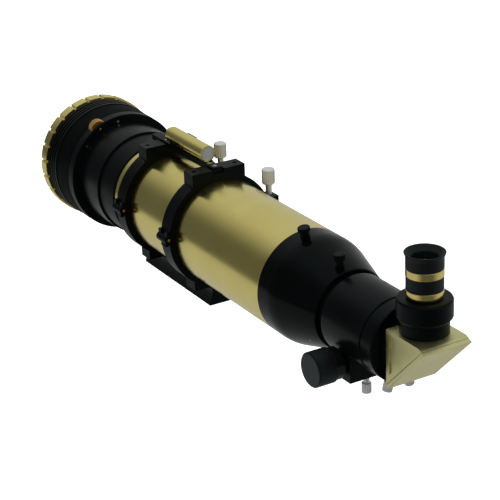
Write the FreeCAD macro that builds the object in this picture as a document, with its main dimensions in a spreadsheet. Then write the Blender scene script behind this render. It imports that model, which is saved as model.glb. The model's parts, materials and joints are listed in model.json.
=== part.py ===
import FreeCAD, Part
import math
import os
import re
import Sketcher

# Solar refractor telescope, as a parametric document. All sizes are in millimetres.
#
# Every piece is drawn in the tube's frame: +Y runs along the optical axis towards the sky,
# y = 0 is the main tube's rear edge, z = 0 is the optical axis and +X is to the right of a
# person at the eyepiece. The Placement of each piece then carries it to the row frame, whose
# origin is the middle of the mounting plate's bottom face.

SIZES = {
    # where the tube stands over the mounting plate
    "axis_height": 82.0,
    "plate_middle": 239.0,
    # main tube and the collar that closes its front
    "tube_radius": 57.0,
    "tube_bore": 55.0,
    "tube_length": 312.0,
    "spigot_radius": 54.9,
    "spigot_length": 16.0,
    "collar_radius": 58.5,
    "collar_bore": 51.5,
    "collar_front": 347.0,
    "socket_radius": 55.4,
    "socket_rear": 337.0,
    # objective cell and its air-spaced doublet
    "cell_radius": 60.8,
    "cell_front": 394.5,
    "cell_spigot_radius": 55.3,
    "cell_spigot_rear": 337.2,
    "cell_mouth": 50.0,
    "lens_radius": 47.0,
    "lens_bore": 47.1,
    "lens_bore_front": 372.0,
    "lens_seat": 358.0,
    "lens_ledge": 45.0,
    "lens_curve": 250.0,
    "flint_edge": 9.0,
    "spacer_thickness": 1.0,
    "crown_edge": 5.0,
    "retainer_gap": 0.2,
    "retainer_length": 6.3,
    # tilt tuner between the cell and the etalon
    "tuner_radius": 69.5,
    "tuner_front": 406.6,
    "tuner_pocket_radius": 10.5,
    "tuner_pocket_rear": 396.4,
    "tuner_screw_circle": 63.2,
    "wheel_circle": 65.0,
    "wheel_radius": 10.0,
    "wheel_rear": 396.8,
    "wheel_front": 406.0,
    "spindle_radius": 1.5,
    "running_gap": 0.05,
    # etalon housing, grooved ring and front ring
    "etalon_radius": 69.8,
    "etalon_rear": 407.0,
    "etalon_front": 438.4,
    "etalon_stop": 46.0,
    "etalon_glass_radius": 52.0,
    "etalon_glass_rear": 410.0,
    "etalon_glass_front": 430.0,
    "etalon_thread_radius": 56.0,
    "grooved_radius": 70.7,
    "grooved_front": 461.5,
    "grooved_bore": 50.0,
    "groove_depth": 1.3,
    "groove_width": 2.6,
    "groove_step": 5.6,
    "groove_first": 442.6,
    "front_ring_radius": 73.0,
    "front_ring_front": 475.3,
    "front_ring_bore": 54.0,
    "front_glass_radius": 58.0,
    "front_glass_rear": 452.0,
    "front_glass_front": 457.0,
    "notch_count": 24.0,
    "notch_width": 3.0,
    "notch_depth": 2.5,
    # rear cell
    "shoulder_at": 26.0,
    "shoulder_round": 60.0,
    "cone_radius": 41.5,
    "cell_end": 80.0,
    "cell_inner": 51.0,
    "throat_inner": 40.0,
    "throat_at": 66.0,
    "cell_bore": 36.2,
    "set_screw_radius": 1.5,
    "cell_screw_length": 4.0,
    # focuser
    "focuser_radius": 40.0,
    "focuser_front": 87.0,
    "focuser_seam": 134.2,
    "focuser_rear": 151.0,
    "neck_radius": 37.0,
    "rotator_radius": 36.15,
    "rotator_thread": 34.0,
    "rotator_front": 61.0,
    "rotator_ring_radius": 39.5,
    "focuser_bore": 27.56,
    "drawtube_radius": 27.5,
    "drawtube_bore": 25.48,
    "drawtube_front": 60.0,
    "drawtube_rear": 163.0,
    "keyway_half": 3.6,
    "keyway_floor": 30.0,
    # rack and pinion: module 0.8, ten teeth
    "pinion_at": 111.2,
    "pinion_drop": 32.0,
    "pinion_pitch_radius": 4.0,
    "addendum": 0.7,
    "dedendum": 0.9,
    "gear_half": 2.8,
    "shaft_radius": 3.0,
    "shaft_end": 62.0,
    "rack_half": 3.0,
    "rack_back": 26.2,
    "rack_front": 65.7,
    "rack_rear": 119.0,
    # pinion housing and focus knobs
    "housing_half": 33.5,
    "housing_front": 95.5,
    "housing_rear": 126.5,
    "housing_bottom": 50.0,
    "housing_top": 22.0,
    "housing_screw_at": 16.0,
    "knob_radius": 17.4,
    "knob_hub_radius": 16.0,
    "knob_boss_radius": 11.0,
    "knob_outer": 68.0,
    "grip_inner": 47.0,
    "hub_inner": 38.0,
    "boss_inner": 34.3,
    # drawtube collar and its lock screws
    "draw_collar_radius": 39.0,
    "draw_collar_front": 151.3,
    "draw_collar_rear": 168.5,
    "lock_at": 157.0,
    "nose_radius": 25.4,
    # star diagonal
    "diagonal_half": 26.0,
    "diagonal_front": 174.5,
    "diagonal_top": 24.0,
    "diagonal_top_rear": 224.5,
    "diagonal_bottom": 35.0,
    "cover_plane": 206.5,
    "outer_plane": 213.6,
    "facet_y": 233.8,
    "facet_z": 20.2,
    "inner_facet_y": 228.76,
    "inner_facet_z": 22.26,
    "light_bore": 17.0,
    "nose_front": 148.0,
    "nose_thread": 22.0,
    "nose_thread_rear": 178.0,
    "flange_front": 168.7,
    "flange_radius": 27.0,
    "recess_depth": 1.5,
    "mirror_width": 38.0,
    "mirror_length": 50.0,
    "mirror_thickness": 6.1,
    "eyepiece_at": 197.8,
    # eyepiece holder and clamp ring
    "holder_bore": 15.95,
    "holder_thread": 19.0,
    "holder_bottom": 19.5,
    "holder_radius": 22.8,
    "holder_shoulder": 36.0,
    "clamp_thread": 19.6,
    "holder_top": 55.0,
    "clamp_radius": 26.0,
    "clamp_bottom": 36.1,
    "clamp_lip": 55.2,
    "clamp_top": 58.3,
    # eyepiece
    "barrel_radius": 15.875,
    "barrel_bottom": 30.0,
    "eyepiece_shoulder": 58.5,
    "grip_bottom": 66.5,
    "grip_top": 79.5,
    "gold_top": 86.7,
    "cup_bend": 97.0,
    "cup_rim": 101.6,
    "eyepiece_core": 14.9,
    "eyepiece_bore": 12.5,
    "core_top": 95.0,
    "gold_radius": 17.5,
    "grip_radius": 17.3,
    "cup_radius": 19.1,
    # mounting plate
    "plate_length": 152.0,
    "plate_half_bottom": 22.0,
    "plate_half_top": 18.0,
    "plate_bevel": 69.0,
    "plate_top": 63.0,
    "tripod_hole_radius": 3.175,
    "tripod_hole_depth": 11.0,
    "tripod_hole_step": 25.0,
    "bolt_radius": 2.5,
    "bolt_head_radius": 4.25,
    "bolt_head_low": 81.0,
    "bolt_head_high": 76.0,
    "bolt_top": 58.6,
    "foot_bolt_at": 10.0,
    # tube rings
    "rings_middle": 231.5,
    "ring_spacing": 105.0,
    "ring_thickness": 19.0,
    "ring_radius": 63.3,
    "ring_bore": 57.9,
    "ring_split": 0.2,
    "hinge_height": 3.0,
    "hinge_at": 64.0,
    "knuckle_radius": 5.0,
    "knuckle_half": 4.7,
    "hinge_pin_radius": 1.5,
    "foot_half": 36.0,
    "foot_top": 50.0,
    "block_half": 32.0,
    "block_bottom": 50.0,
    "block_top": 69.0,
    "saddle_half": 7.0,
    "saddle_floor": 64.5,
    "pad_hole_at": 25.0,
    "pad_hole_radius": 2.5,
    "pad_hole_depth": 10.0,
    "ear_inner": 54.0,
    "ear_outer": 73.0,
    "ear_top": 23.0,
    "ear_bottom": 9.0,
    "ring_screw_at": 66.3,
    "ring_screw_radius": 2.5,
    "screw_gap": 0.1,
    "swing_gap": 0.9,
    "liner_inner": 57.15,
    # solar finder
    "bar_half": 5.5,
    "bar_rear": 172.0,
    "bar_front": 311.0,
    "bar_top": 70.8,
    "finder_axis": 80.0,
    "finder_radius": 9.0,
    "finder_bore": 8.0,
    "finder_rear": 192.0,
    "finder_front": 276.0,
    "finder_screw_radius": 1.5,
}

doc = FreeCAD.newDocument("telescope")
sheet = doc.addObject("Spreadsheet::Sheet", "Sizes")
for row, (alias, size) in enumerate(SIZES.items(), start=1):
    sheet.set("A%d" % row, alias)
    sheet.set("B%d" % row, str(size))
    sheet.setAlias("B%d" % row, alias)
doc.recompute()

nodes = []
ALONG_X = FreeCAD.Rotation(FreeCAD.Vector(0, 0, 1), -90)
ALONG_Y = FreeCAD.Rotation()
ALONG_Z = FreeCAD.Rotation(FreeCAD.Vector(1, 0, 0), 90)


# ---- helpers: expressions, sketches and features -------------------------------------------

def in_sheet(formula):
    """The formula with each alias pointed at the sheet; functions such as cos() stay."""
    return re.sub(r"[a-z]\w*(?!\w*\()", lambda word: "Sizes." + word.group(0), formula)


def bind(target, path, formula):
    target.setExpression(path, in_sheet(formula))


def stand(piece, x="0", y="0", z="0", turn=ALONG_Y):
    """Carry a piece drawn at a point of the tube's frame to the row frame."""
    piece.Placement = FreeCAD.Placement(FreeCAD.Vector(), turn)
    bind(piece, "Placement.Base.x", x)
    bind(piece, "Placement.Base.y", "(%s) - plate_middle" % y)
    bind(piece, "Placement.Base.z", "(%s) + axis_height" % z)


def keep(piece, label):
    """Give a finished piece its name and put it on the list of sub-parts."""
    piece.Label = label
    nodes.append(piece)
    return piece


def new_body(label):
    body = doc.addObject("PartDesign::Body", label + "_body")
    body.AllowCompound = True
    return body


def plane_of(body, role):
    return next(item for item in body.Origin.OriginFeatures if item.Role == role)


def new_sketch(body, role="XY_Plane", offset=None):
    sketch = body.newObject("Sketcher::SketchObject", body.Name + "_sketch")
    sketch.AttachmentSupport = [(plane_of(body, role), "")]
    sketch.MapMode = "FlatFace"
    if offset is not None:
        bind(sketch, "AttachmentOffset.Base.z", offset)
    return sketch


def place_point(sketch, geometry, end, across, along):
    """Fix one vertex at (across, along), each a formula; a plain 0 puts it on the axis."""
    for kind, formula, axis in (("DistanceX", across, -2), ("DistanceY", along, -1)):
        if formula == "0":
            sketch.addConstraint(Sketcher.Constraint("PointOnObject", geometry, end, axis))
            continue
        point = sketch.getPoint(geometry, end)
        start = point.x if kind == "DistanceX" else point.y
        index = sketch.addConstraint(Sketcher.Constraint(kind, -1, 1, geometry, end, start))
        bind(sketch, "Constraints[%d]" % index, formula)


def draw_outline(sketch, outline):
    """A closed outline of straight lines through points given as pairs of formulas."""
    count = len(outline)
    corners = []
    for index in range(count):
        angle = 2 * math.pi * index / count
        corners.append(FreeCAD.Vector(60 + 20 * math.cos(angle), 20 * math.sin(angle), 0))
    first = sketch.GeometryCount
    for index in range(count):
        sketch.addGeometry(Part.LineSegment(corners[index], corners[(index + 1) % count]))
    for index in range(count):
        following = first + (index + 1) % count
        sketch.addConstraint(Sketcher.Constraint("Coincident", first + index, 2, following, 1))
    for index, (across, along) in enumerate(outline):
        place_point(sketch, first + index, 1, across, along)


def revolve(body, outline):
    """Revolve an outline of (radius, position) about the body's own Y axis."""
    sketch = new_sketch(body)
    draw_outline(sketch, outline)
    spun = body.newObject("PartDesign::Revolution", body.Name + "_turned")
    spun.Profile = sketch
    spun.ReferenceAxis = (sketch, ["V_Axis"])
    spun.Angle = 360
    body.Tip = spun
    return spun


def pad(body, sketch, length, midplane=False, reverse=False):
    grown = body.newObject("PartDesign::Pad", body.Name + "_pad")
    grown.Profile = sketch
    grown.SideType = "Symmetric" if midplane else "One side"
    grown.Reversed = reverse
    bind(grown, "Length", length)
    body.Tip = grown
    return grown


def box(x, y, z, centre=("0", "0", "0")):
    """A box with its middle at the centre, each size and coordinate a formula."""
    block = doc.addObject("Part::Box", "block")
    for path, size in (("Length", x), ("Width", y), ("Height", z)):
        bind(block, path, size)
    for axis, size, middle in zip("xyz", (x, y, z), centre):
        bind(block, "Placement.Base." + axis, "(%s) - (%s) / 2" % (middle, size))
    return block


def rod(radius, start, end, x="0", y="0", z="0", along="y"):
    """A cylinder along one axis, from start to end, through the point given by the others."""
    turns = {"x": (0, 1, 0, 90), "y": (1, 0, 0, -90), "z": (0, 0, 1, 0)}
    turn = turns[along]
    bar = doc.addObject("Part::Cylinder", "rod")
    bind(bar, "Radius", radius)
    bind(bar, "Height", "(%s) - (%s)" % (end, start))
    rotation = FreeCAD.Rotation(FreeCAD.Vector(*turn[:3]), turn[3])
    bar.Placement = FreeCAD.Placement(FreeCAD.Vector(), rotation)
    base = {"x": x, "y": y, "z": z}
    base[along] = start
    for axis, formula in base.items():
        bind(bar, "Placement.Base." + axis, formula)
    return bar


def spoke(radius, start, end, angle, y):
    """A cylinder that points away from the optical axis at an angle from +X towards +Z."""
    bar = doc.addObject("Part::Cylinder", "spoke")
    bind(bar, "Radius", radius)
    bind(bar, "Height", "(%s) - (%s)" % (end, start))
    turn = FreeCAD.Rotation(FreeCAD.Vector(0, 1, 0), 90 - angle)
    bar.Placement = FreeCAD.Placement(FreeCAD.Vector(), turn)
    bind(bar, "Placement.Base.x", "(%s) * %.9f" % (start, math.cos(math.radians(angle))))
    bind(bar, "Placement.Base.y", y)
    bind(bar, "Placement.Base.z", "(%s) * %.9f" % (start, math.sin(math.radians(angle))))
    return bar


def cut(base, tools):
    """The base less every tool."""
    for tool in tools:
        piece = doc.addObject("Part::Cut", "cut")
        piece.Base = base
        piece.Tool = tool
        base = piece
    return base


def fuse(shapes):
    piece = doc.addObject("Part::MultiFuse", "fuse")
    piece.Shapes = shapes
    piece.Refine = True
    return piece


def common(shapes):
    piece = doc.addObject("Part::MultiCommon", "common")
    piece.Shapes = shapes
    return piece


def group(shapes):
    piece = doc.addObject("Part::Compound", "group")
    piece.Links = shapes
    return piece


def turned(label, outline, **at):
    """A sub-part made by turning an outline; at says where it stands and which way it lies."""
    body = new_body(label)
    revolve(body, outline)
    stand(body, **at)
    return keep(body, label)


def tube_outline(inner, outer, start, end):
    return [(inner, start), (outer, start), (outer, end), (inner, end)]


def disc_outline(radius, start, end):
    return tube_outline("0", radius, start, end)


# ---- mounting plate and its bolts ----------------------------------------------------------

RING_SIDES = {"rear": "-", "front": "+"}


def ring_place(side):
    """Where a tube ring's middle stands along the tube."""
    return "rings_middle %s ring_spacing / 2" % RING_SIDES[side]


plate_blank = new_body("plate_blank")
plate_sketch = new_sketch(plate_blank, "XZ_Plane")
draw_outline(plate_sketch, [
    ("-plate_half_bottom", "-axis_height"),
    ("plate_half_bottom", "-axis_height"),
    ("plate_half_top", "-plate_bevel"),
    ("plate_half_top", "-plate_top"),
    ("-plate_half_top", "-plate_top"),
    ("-plate_half_top", "-plate_bevel"),
])
pad(plate_blank, plate_sketch, "plate_length", midplane=True)
bind(plate_blank, "Placement.Base.y", "plate_middle")

plate_holes = []
foot_bolts = []
for side in RING_SIDES:
    for sign in ("-", ""):
        spot = {"x": sign + "foot_bolt_at", "y": ring_place(side), "along": "z"}
        plate_holes.append(rod("bolt_radius", "-axis_height", "-plate_top", **spot))
        plate_holes.append(rod("bolt_head_radius", "-axis_height", "-bolt_head_high", **spot))
        head = rod("bolt_head_radius", "-bolt_head_low", "-bolt_head_high", **spot)
        shank = rod("bolt_radius", "-bolt_head_high", "-bolt_top", **spot)
        foot_bolts.append(fuse([head, shank]))
for sign in ("-", "+"):
    where = "plate_middle %s tripod_hole_step" % sign
    top = "tripod_hole_depth - axis_height"
    plate_holes.append(rod("tripod_hole_radius", "-axis_height", top, y=where, along="z"))
mounting_plate = cut(plate_blank, plate_holes)
stand(mounting_plate)
keep(mounting_plate, "mounting_plate")

plate_bolts = group(foot_bolts)
stand(plate_bolts)
keep(plate_bolts, "plate_bolts")


# ---- tube rings: each a lower half, a hinged upper half, a pin and two liners ---------------

HALF = "ring_thickness / 2"
HINGE = {"x": "-hinge_at", "z": "hinge_height"}


def ring_half(label, side, upper):
    """One half of a clamshell ring, split level with its hinge pin."""
    edge = "hinge_height %s ring_split" % ("+" if upper else "-")
    disc = rod("ring_radius", "-" + HALF, HALF)
    if upper:
        keeper = box("200", "ring_thickness", "100", ("0", "0", "(%s) + 50" % edge))
    else:
        keeper = box("200", "ring_thickness", "(%s) + plate_top" % edge,
                     ("0", "0", "((%s) - plate_top) / 2" % edge))
    parts = [common([disc, keeper])]
    ear_x = "(ear_inner + ear_outer) / 2"
    ear_wide = "ear_outer - ear_inner"
    leaf_x = "(-hinge_at - 2 - 60) / 2"
    if upper:
        middle = "(block_bottom + block_top) / 2"
        tall = "block_top - block_bottom"
        parts.append(box("2 * block_half", "ring_thickness", tall, ("0", "0", middle)))
        ear_middle = "(%s + ear_top) / 2" % edge
        parts.append(box(ear_wide, "ring_thickness", "ear_top - (%s)" % edge,
                         (ear_x, "0", ear_middle)))
        leaf_z = "hinge_height + 4.5"
        knuckles = [("-" + HALF, "-(knuckle_half + 0.2)"), ("knuckle_half + 0.2", HALF)]
        clear = [("-(knuckle_half + 0.2)", "knuckle_half + 0.2")]
    else:
        middle = "-(foot_top + plate_top) / 2"
        tall = "plate_top - foot_top"
        parts.append(box("2 * foot_half", "ring_thickness", tall, ("0", "0", middle)))
        ear_middle = "(%s - ear_bottom) / 2" % edge
        parts.append(box(ear_wide, "ring_thickness", "ear_bottom + (%s)" % edge,
                         (ear_x, "0", ear_middle)))
        leaf_z = "hinge_height - 4.5"
        knuckles = [("-knuckle_half", "knuckle_half")]
        clear = [("-" + HALF, "-knuckle_half"), ("knuckle_half", HALF)]
    for start, end in knuckles:
        parts.append(rod("knuckle_radius", start, end, **HINGE))
        wide = "(%s) - (%s)" % (end, start)
        centre = (leaf_x, "((%s) + (%s)) / 2" % (start, end), leaf_z)
        parts.append(box("hinge_at + 2 - 60", wide, "9", centre))
    tools = [rod("ring_bore", "-" + HALF, HALF)]
    tools.append(rod("hinge_pin_radius", "-" + HALF, HALF, **HINGE))
    for start, end in clear:
        tools.append(rod("knuckle_radius + 0.3", start, end, **HINGE))
    gap = "screw_gap" if upper else "swing_gap"
    hole_radius = "ring_screw_radius + " + gap
    tools.append(rod(hole_radius, "-ear_bottom", "ear_top", x="ring_screw_at", along="z"))
    if upper:
        tools.append(box("2 * saddle_half", "ring_thickness", "block_top - saddle_floor",
                         ("0", "0", "(saddle_floor + block_top) / 2")))
        for sign in ("-", ""):
            tools.append(rod("pad_hole_radius", "block_top - pad_hole_depth", "block_top",
                             x=sign + "pad_hole_at", along="z"))
        tools.append(rod("finder_screw_radius", "saddle_floor - 4.5", "saddle_floor", along="z"))
    else:
        for sign in ("-", ""):
            tools.append(rod("bolt_radius", "-plate_top", "-bolt_top",
                             x=sign + "foot_bolt_at", along="z"))
    half = cut(fuse(parts), tools)
    stand(half, y=ring_place(side))
    keep(half, label)


def liner(side, upper):
    """The thin felt strip that lines one half of a ring."""
    sign = "+" if upper else "-"
    edge = "hinge_height %s ring_split" % sign
    keeper = box("200", "ring_thickness", "100", ("0", "0", "(%s) %s 50" % (edge, sign)))
    sleeve = cut(rod("ring_bore", "1 - " + HALF, HALF + " - 1"),
                 [rod("liner_inner", "-" + HALF, HALF)])
    strip = common([sleeve, keeper])
    bind(strip, "Placement.Base.y", ring_place(side))
    return strip


for side in RING_SIDES:
    ring_half("ring_lower_" + side, side, upper=False)
for side in RING_SIDES:
    ring_half("ring_upper_" + side, side, upper=True)

hinge_pins = []
for side in RING_SIDES:
    middle = ring_place(side)
    hinge_pins.append(rod("hinge_pin_radius", "(%s) - %s" % (middle, HALF),
                          "(%s) + %s" % (middle, HALF), **HINGE))
ring_hinge_pins = group(hinge_pins)
stand(ring_hinge_pins)
keep(ring_hinge_pins, "ring_hinge_pins")

for upper, label in ((False, "ring_liners_lower"), (True, "ring_liners_upper")):
    liners = group([liner(side, upper) for side in RING_SIDES])
    stand(liners)
    keep(liners, label)

for side in RING_SIDES:
    turned("ring_screw_" + side, [
        ("0", "-7"),
        ("ring_screw_radius - 0.5", "-7"),
        ("ring_screw_radius", "-6.5"),
        ("ring_screw_radius", "ear_top + 0.1"),
        ("3.5", "ear_top + 0.1"),
        ("3.5", "35.5"),
        ("6.4", "35.5"),
        ("7.2", "36.5"),
        ("7.2", "51.7"),
        ("6.2", "52.7"),
        ("0", "52.7"),
    ], x="ring_screw_at", y=ring_place(side), turn=ALONG_Z)


# ---- main tube, collar, objective cell and lens ---------------------------------------------

turned("main_tube", tube_outline("tube_bore", "tube_radius", "0", "tube_length"))

turned("front_collar", [
    ("collar_bore", "tube_length - spigot_length"),
    ("spigot_radius", "tube_length - spigot_length"),
    ("spigot_radius", "tube_length"),
    ("collar_radius - 0.8", "tube_length"),
    ("collar_radius", "tube_length + 0.8"),
    ("collar_radius", "collar_front"),
    ("socket_radius", "collar_front"),
    ("socket_radius", "socket_rear"),
    ("collar_bore", "socket_rear"),
])

turned("objective_cell", [
    ("lens_ledge", "cell_spigot_rear"),
    ("cell_spigot_radius", "cell_spigot_rear"),
    ("cell_spigot_radius", "collar_front"),
    ("cell_radius - 0.8", "collar_front"),
    ("cell_radius", "collar_front + 0.8"),
    ("cell_radius", "cell_front"),
    ("cell_mouth", "cell_front"),
    ("cell_mouth", "lens_bore_front"),
    ("lens_bore", "lens_bore_front"),
    ("lens_bore", "lens_seat"),
    ("lens_ledge", "lens_seat"),
])

CURVE_RISE = "sqrt(lens_curve ^ 2 - lens_radius ^ 2)"
FLINT_RIM = "lens_seat + flint_edge"
CROWN_RIM = "lens_seat + flint_edge + spacer_thickness"


def ball(radius, y="0", z="0"):
    sphere = doc.addObject("Part::Sphere", "ball")
    bind(sphere, "Radius", radius)
    bind(sphere, "Placement.Base.y", y)
    bind(sphere, "Placement.Base.z", z)
    return sphere


flint = cut(rod("lens_radius", "lens_seat", FLINT_RIM),
            [ball("lens_curve", "%s + %s" % (FLINT_RIM, CURVE_RISE))])
stand(flint)
keep(flint, "lens_flint")

SPACER_BORE = "(lens_ledge + 0.5)"
SPACER_DISH = "(sqrt(lens_curve ^ 2 - %s ^ 2) - %s)" % (SPACER_BORE, CURVE_RISE)

# Its two faces are dished like the lens surfaces that it touches.
turned("lens_spacer", [
    (SPACER_BORE, "%s - %s" % (FLINT_RIM, SPACER_DISH)),
    ("lens_radius", FLINT_RIM),
    ("lens_radius", CROWN_RIM),
    (SPACER_BORE, "%s - %s" % (CROWN_RIM, SPACER_DISH)),
])

crown = common([
    rod("lens_radius", "lens_seat", "lens_seat + 30"),
    ball("lens_curve", "%s + %s" % (CROWN_RIM, CURVE_RISE)),
    ball("lens_curve", "%s + crown_edge - %s" % (CROWN_RIM, CURVE_RISE)),
])
stand(crown)
keep(crown, "lens_crown")

turned("lens_retainer", tube_outline(
    "lens_radius - 1", "cell_mouth", CROWN_RIM + " + crown_edge + retainer_gap",
    CROWN_RIM + " + crown_edge + retainer_gap + retainer_length"))


# ---- tilt tuner ----------------------------------------------------------------------------

WHEEL_ANGLE = 117
SET_SCREW_ANGLES = (95.8, 139.6)


def round_axis(radius, angle):
    """The x and z formulas of a point at an angle from +X towards +Z."""
    x = "(%s) * %.9f" % (radius, math.cos(math.radians(angle)))
    z = "(%s) * %.9f" % (radius, math.sin(math.radians(angle)))
    return {"x": x, "z": z}


WHEEL_SPOT = round_axis("wheel_circle", WHEEL_ANGLE)

tuner_blank = new_body("tuner_blank")
revolve(tuner_blank, [
    ("cell_mouth", "cell_front"),
    ("tuner_radius - 0.8", "cell_front"),
    ("tuner_radius", "cell_front + 0.8"),
    ("tuner_radius", "tuner_front"),
    ("cell_mouth", "tuner_front"),
])
tuner_tools = [
    rod("tuner_pocket_radius", "tuner_pocket_rear", "tuner_front", **WHEEL_SPOT),
    rod("spindle_radius + running_gap", "cell_front", "tuner_front", **WHEEL_SPOT),
]
tuner_screws = []
for angle in SET_SCREW_ANGLES:
    spot = round_axis("tuner_screw_circle", angle)
    tuner_tools.append(rod("set_screw_radius", "cell_front", "cell_front + 6", **spot))
    tuner_screws.append(rod("set_screw_radius", "cell_front - 0.3", "cell_front + 5", **spot))
tuner_ring = cut(tuner_blank, tuner_tools)
stand(tuner_ring)
keep(tuner_ring, "tuner_ring")

tuner_set_screws = group(tuner_screws)
stand(tuner_set_screws)
keep(tuner_set_screws, "tuner_set_screws")

turned("tuning_wheel", [
    ("0", "cell_front - 0.4"),
    ("spindle_radius", "cell_front - 0.4"),
    ("spindle_radius", "wheel_rear"),
    ("wheel_radius - 0.6", "wheel_rear"),
    ("wheel_radius", "wheel_rear + 0.6"),
    ("wheel_radius", "wheel_front - 0.6"),
    ("wheel_radius - 0.6", "wheel_front"),
    ("0", "wheel_front"),
], **WHEEL_SPOT)


# ---- etalon unit ---------------------------------------------------------------------------

turned("etalon_housing", [
    ("etalon_stop", "etalon_rear"),
    ("etalon_radius - 0.6", "etalon_rear"),
    ("etalon_radius", "etalon_rear + 0.6"),
    ("etalon_radius", "etalon_front"),
    ("etalon_thread_radius", "etalon_front"),
    ("etalon_thread_radius", "etalon_glass_front"),
    ("etalon_glass_radius", "etalon_glass_front"),
    ("etalon_glass_radius", "etalon_glass_rear"),
    ("etalon_stop", "etalon_glass_rear"),
])

turned("etalon_glass", disc_outline(
    "etalon_glass_radius", "etalon_glass_rear", "etalon_glass_front"))

GROOVE_FLOOR = "grooved_radius - groove_depth"
grooved_outline = [
    ("grooved_bore", "etalon_glass_front"),
    ("etalon_thread_radius", "etalon_glass_front"),
    ("etalon_thread_radius", "etalon_front"),
    ("grooved_radius", "etalon_front"),
]
for index in range(3):
    start = "groove_first + %d * groove_step" % index
    grooved_outline.append(("grooved_radius", start))
    grooved_outline.append((GROOVE_FLOOR, start))
    grooved_outline.append((GROOVE_FLOOR, start + " + groove_width"))
    grooved_outline.append(("grooved_radius", start + " + groove_width"))
grooved_outline += [
    ("grooved_radius", "grooved_front"),
    ("front_glass_radius", "grooved_front"),
    ("front_glass_radius", "front_glass_rear"),
    ("grooved_bore", "front_glass_rear"),
]
turned("grooved_ring", grooved_outline)

turned("front_filter_glass", disc_outline(
    "front_glass_radius", "front_glass_rear", "front_glass_front"))

front_ring = new_body("front_ring")
revolve(front_ring, [
    ("front_ring_bore", "front_glass_front"),
    ("front_glass_radius", "front_glass_front"),
    ("front_glass_radius", "grooved_front"),
    ("front_ring_radius - 0.5", "grooved_front"),
    ("front_ring_radius", "grooved_front + 0.5"),
    ("front_ring_radius", "front_ring_front - 1"),
    ("front_ring_radius - 1", "front_ring_front"),
    ("front_ring_bore + 8", "front_ring_front"),
    ("front_ring_bore", "front_ring_front - 8"),
])
notch_sketch = new_sketch(front_ring, "XZ_Plane", "-grooved_front")
draw_outline(notch_sketch, [
    ("front_ring_radius - notch_depth", "-notch_width / 2"),
    ("front_ring_radius + 2", "-notch_width / 2"),
    ("front_ring_radius + 2", "notch_width / 2"),
    ("front_ring_radius - notch_depth", "notch_width / 2"),
])
notch = front_ring.newObject("PartDesign::Pocket", "notch")
notch.Profile = notch_sketch
notch.Midplane = True
bind(notch, "Length", "60")
notches = front_ring.newObject("PartDesign::PolarPattern", "notches")
notches.Originals = [notch]
notches.Axis = (plane_of(front_ring, "Y_Axis"), [""])
notches.Angle = 360
bind(notches, "Occurrences", "notch_count")
front_ring.Tip = notches
stand(front_ring, turn=FreeCAD.Rotation(FreeCAD.Vector(0, 1, 0), -9))
keep(front_ring, "front_ring")


# ---- rear cell and its thumbscrews ---------------------------------------------------------

CELL_KNOB_ANGLE = 100.4
CELL_KNOB_AT = "-17"
ROTATOR_KNOB_ANGLE = 97
ROTATOR_KNOB_AT = "-71"
CELL_SCREWS = ((-146, "-4", "57"), (-34, "-4", "57"), (-142, "-62", "46.5"), (-38, "-62", "46.5"))


def rim_edges(feature, radius, y):
    """The names of a feature's circular edges of one radius at one place along the tube."""
    names = []
    for index, edge in enumerate(feature.Shape.Edges, start=1):
        curve = edge.Curve
        if isinstance(curve, Part.Circle):
            if abs(curve.Radius - radius) < 1e-6 and abs(curve.Center.y - y) < 1e-6:
                names.append("Edge%d" % index)
    return names


cell_blank = new_body("cell_blank")
cell_turned = revolve(cell_blank, [
    ("cell_inner", "spigot_length"),
    ("spigot_radius", "spigot_length"),
    ("spigot_radius", "0"),
    ("tube_radius", "0"),
    ("tube_radius", "-shoulder_at"),
    ("cone_radius", "-cell_end"),
    ("cell_bore", "-cell_end"),
    ("cell_bore", "-throat_at"),
    ("throat_inner", "-throat_at"),
    ("cell_inner", "-shoulder_at"),
])
doc.recompute()
shoulder = cell_blank.newObject("PartDesign::Fillet", "shoulder")
shoulder.Base = (cell_turned, rim_edges(cell_turned, sheet.tube_radius, -sheet.shoulder_at))
bind(shoulder, "Radius", "shoulder_round")
cell_blank.Tip = shoulder
doc.recompute()
rear_edge = cell_blank.newObject("PartDesign::Fillet", "rear_edge")
rear_edge.Base = (shoulder, rim_edges(shoulder, sheet.cone_radius, -sheet.cell_end))
rear_edge.Radius = 1.5
cell_blank.Tip = rear_edge

cell_tools = [
    spoke("2 + running_gap", "cell_inner - 6", "tube_radius + 2", CELL_KNOB_ANGLE,
          CELL_KNOB_AT),
    spoke("2 + running_gap", "cell_bore - 2", "cell_inner", ROTATOR_KNOB_ANGLE,
          ROTATOR_KNOB_AT),
]
cell_screws = []
for angle, y, reach in CELL_SCREWS:
    start = reach + " - cell_screw_length"
    cell_tools.append(spoke("set_screw_radius", start, reach + " + 3", angle, y))
    cell_screws.append(spoke("set_screw_radius", start, reach + " + 0.2", angle, y))
rear_cell = cut(cell_blank, cell_tools)
stand(rear_cell)
keep(rear_cell, "rear_cell")

cell_set_screws = group(cell_screws)
stand(cell_set_screws)
keep(cell_set_screws, "cell_set_screws")


def radial_screw(label, outline, angle, y):
    """A thumbscrew turned about its own axis, then laid along a radius of the tube."""
    body = new_body(label)
    revolve(body, outline)
    stand(body, y=y, turn=FreeCAD.Rotation(FreeCAD.Vector(0, 1, 0), 90 - angle) * ALONG_Z)
    keep(body, label)


radial_screw("cell_thumbscrew", [
    ("0", "49.5"),
    ("2", "49.5"),
    ("2", "57.2"),
    ("4.85", "57.2"),
    ("4.85", "64.7"),
    ("5.9", "64.7"),
    ("6.3", "65.1"),
    ("6.3", "68.4"),
    ("5.7", "69"),
    ("0", "69"),
], CELL_KNOB_ANGLE, CELL_KNOB_AT)

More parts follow.
